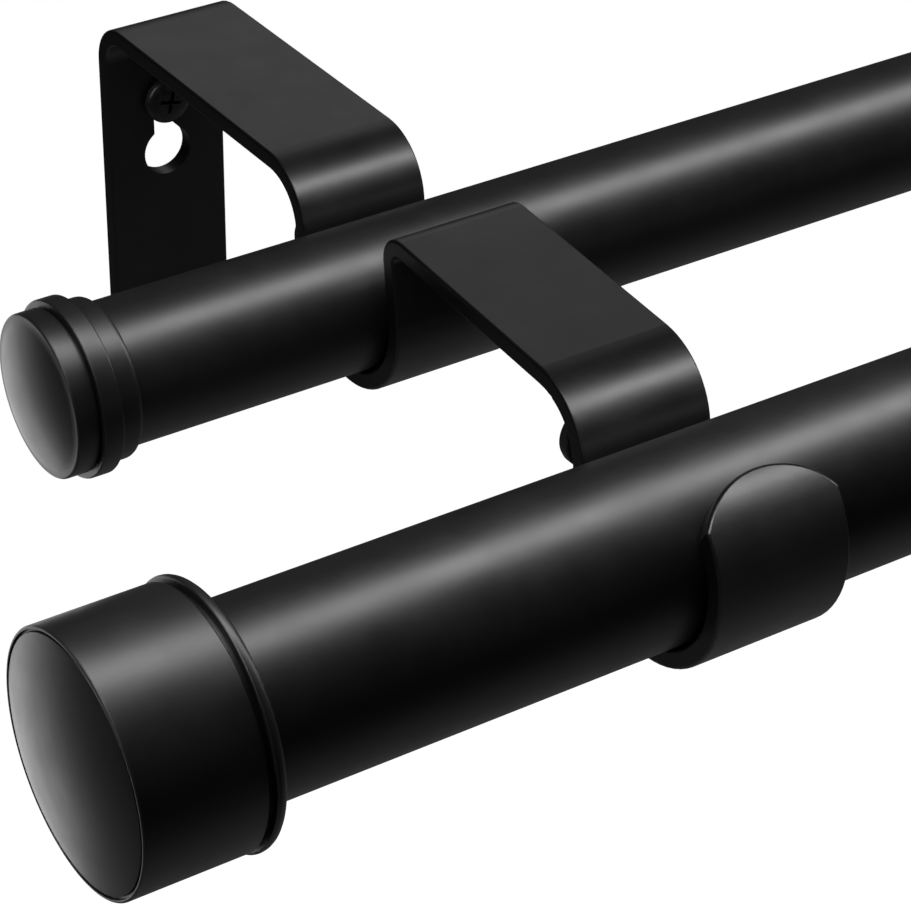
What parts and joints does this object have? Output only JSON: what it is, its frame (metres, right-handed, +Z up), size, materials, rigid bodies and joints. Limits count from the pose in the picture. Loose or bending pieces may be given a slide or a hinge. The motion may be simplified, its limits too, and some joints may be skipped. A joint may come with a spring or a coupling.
{
  "type": "double curtain pole",
  "caption": "Telescoping double curtain pole on two bent strip wall brackets, with domed end caps and set screws, satin black.",
  "frame": {"origin": "on the wall, 15 mm below the upper wall screw of the left bracket", "axes": "+X along the poles to the right, the room lies towards -Y and the wall is the plane y = 0, +Z up"},
  "size_m": [0.7114, 0.1711, 0.0635],
  "materials": {
    "bracket_coat": "satin black powder coat on steel",
    "cap_coat": "satin black coat on turned metal",
    "pole_coat": "satin black powder coat on steel tube",
    "set_screw_steel": "black oxide steel",
    "slide_plastic": "black moulded plastic",
    "stud_steel": "plain zinc-plated steel",
    "wall_screw_steel": "black oxide steel"
  },
  "bodies": {
    "left_half": {"front_left_cap": "cap_coat", "front_left_plug": "slide_plastic", "front_left_set_screw": "set_screw_steel", "front_left_stud": "stud_steel", "front_outer_tube": "pole_coat", "front_slide_sleeve": "slide_plastic", "left_bracket": "bracket_coat", "left_lower_wall_screw": "wall_screw_steel", "left_upper_wall_screw": "wall_screw_steel", "rear_left_cap": "cap_coat", "rear_left_plug": "slide_plastic", "rear_left_set_screw": "set_screw_steel", "rear_left_stud": "stud_steel", "rear_outer_tube": "pole_coat", "rear_slide_sleeve": "slide_plastic"},
    "right_half": {"front_inner_tube": "pole_coat", "front_right_cap": "cap_coat", "front_right_plug": "slide_plastic", "front_right_set_screw": "set_screw_steel", "front_right_stud": "stud_steel", "front_tail_guide": "slide_plastic", "rear_inner_tube": "pole_coat", "rear_right_cap": "cap_coat", "rear_right_plug": "slide_plastic", "rear_right_set_screw": "set_screw_steel", "rear_right_stud": "stud_steel", "rear_tail_guide": "slide_plastic", "right_bracket": "bracket_coat", "right_lower_wall_screw": "wall_screw_steel", "right_upper_wall_screw": "wall_screw_steel"}
  },
  "joints": [
    {"name": "width_slide", "type": "slide", "parent": "left_half", "child": "right_half", "axis": [1, 0, 0], "range_m": [0, 0.46]}
  ]
}
